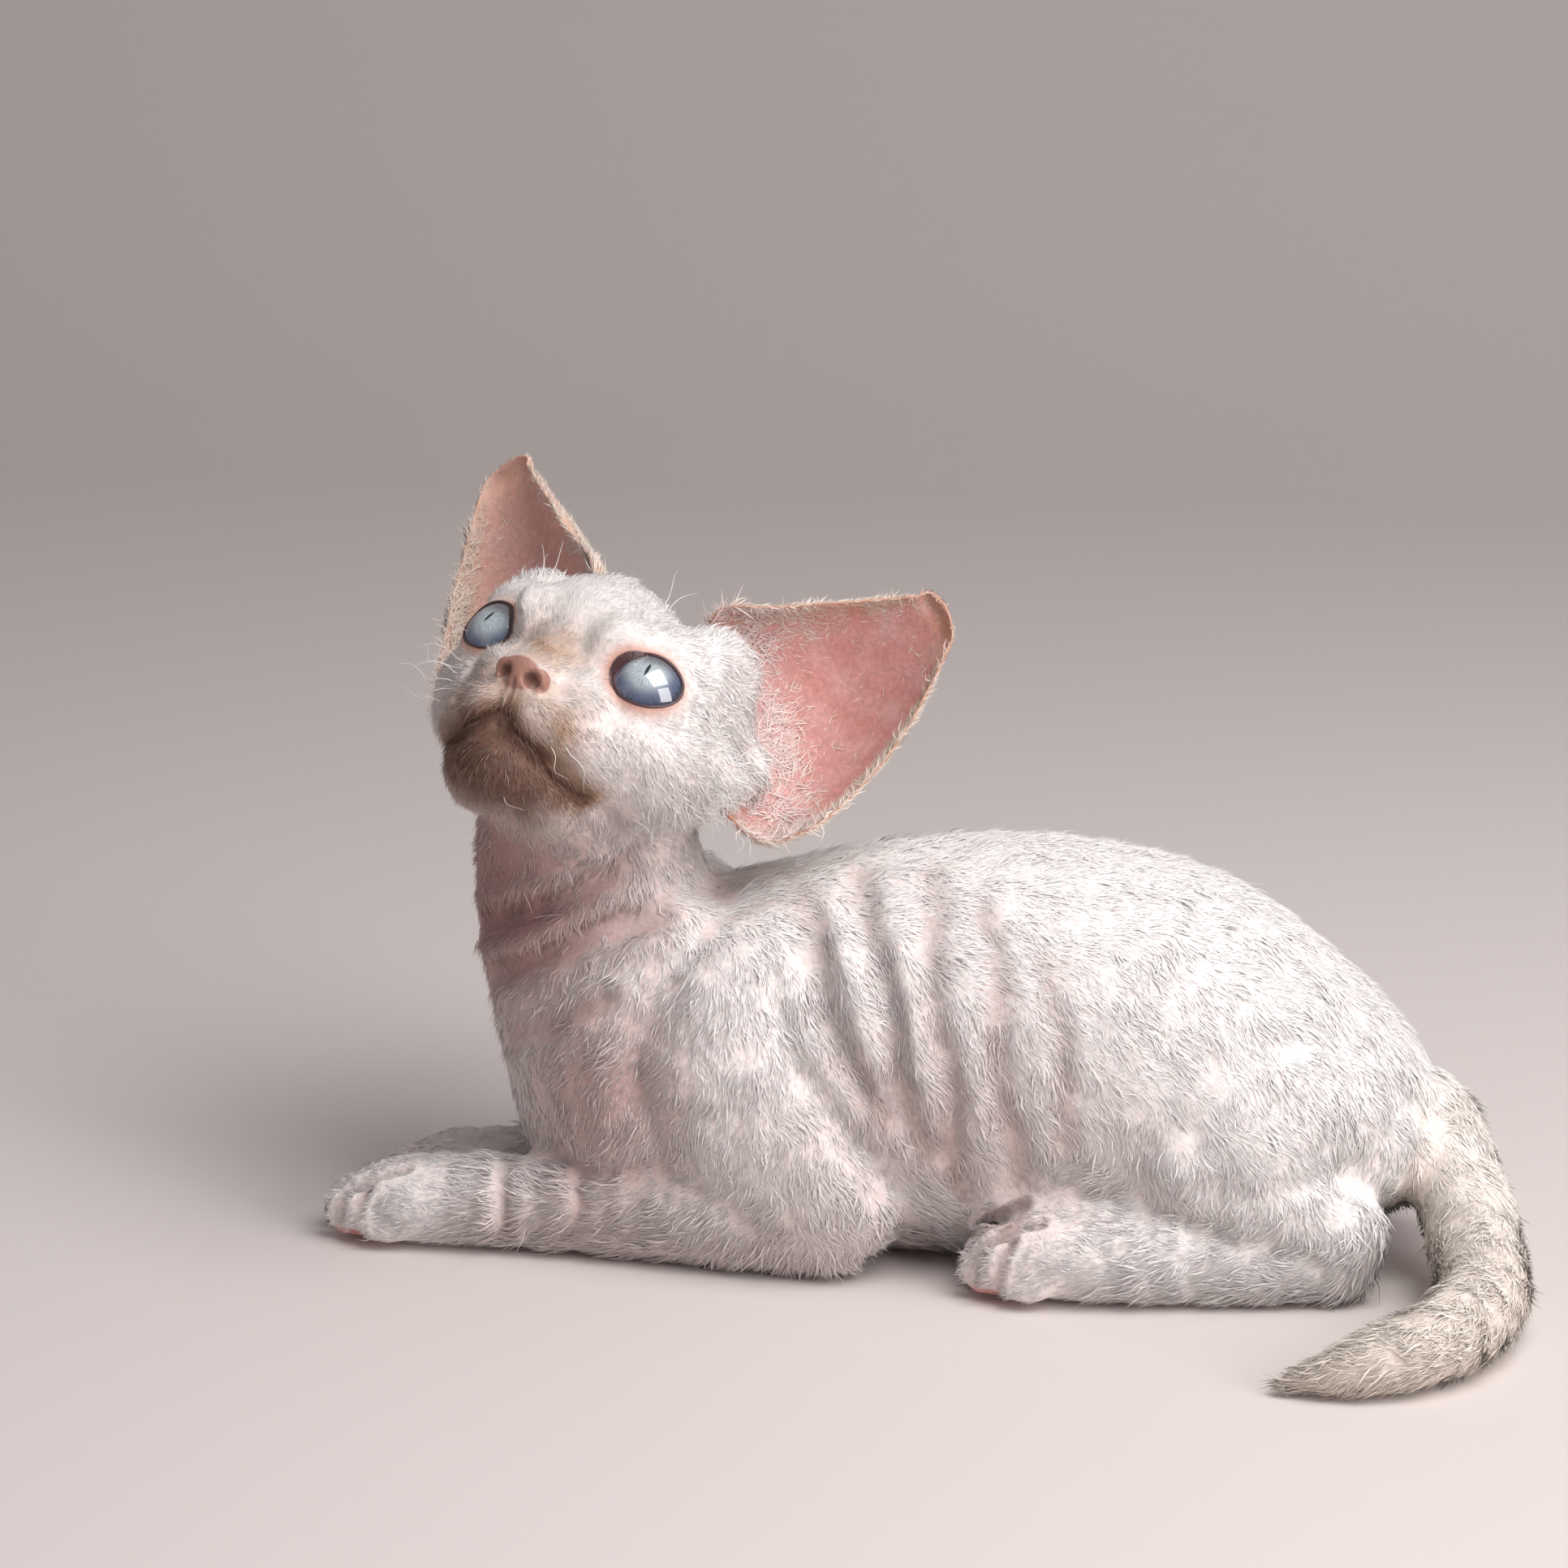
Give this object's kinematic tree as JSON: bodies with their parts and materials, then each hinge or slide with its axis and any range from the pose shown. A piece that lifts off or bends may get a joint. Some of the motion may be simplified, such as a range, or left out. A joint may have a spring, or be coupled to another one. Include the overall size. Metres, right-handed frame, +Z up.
{
  "type": "devon rex kitten",
  "caption": "Life-size still model of a short-coated, large-eared kitten lying on its chest with its head turned and raised.",
  "frame": {"origin": "on the floor below the middle of the model's bounding box", "axes": "+X from the chest to the rump, +Y towards the kitten's right side, +Z up"},
  "size_m": [0.2296, 0.1276, 0.1415],
  "materials": {
    "head": "short wavy fur over pink skin",
    "nose": "smooth moist skin",
    "neck": "short wavy fur over pink skin",
    "torso": "short wavy fur over pink skin",
    "ear_left": "thin pink skin with sparse tan fur",
    "eye_left": "wet and glossy",
    "foreleg_left": "short wavy fur",
    "hindleg_left": "short wavy fur",
    "forepaw_left": "short fur, pink pads",
    "hindpaw_left": "short fur, pink pads",
    "ear_right": "thin pink skin with sparse tan fur",
    "eye_right": "wet and glossy",
    "foreleg_right": "short wavy fur",
    "hindleg_right": "short wavy fur",
    "forepaw_right": "short fur, pink pads",
    "hindpaw_right": "short fur, pink pads",
    "tail_root": "cream wavy fur",
    "tail_middle": "cream wavy fur",
    "tail_tip": "cream wavy fur"
  },
  "bodies": {
    "root": {"head": "head", "nose": "nose", "neck": "neck", "torso": "torso", "ear_left": "ear_left", "eye_left": "eye_left", "foreleg_left": "foreleg_left", "hindleg_left": "hindleg_left", "forepaw_left": "forepaw_left", "hindpaw_left": "hindpaw_left", "ear_right": "ear_right", "eye_right": "eye_right", "foreleg_right": "foreleg_right", "hindleg_right": "hindleg_right", "forepaw_right": "forepaw_right", "hindpaw_right": "hindpaw_right", "tail_root": "tail_root", "tail_middle": "tail_middle", "tail_tip": "tail_tip"}
  },
  "joints": []
}
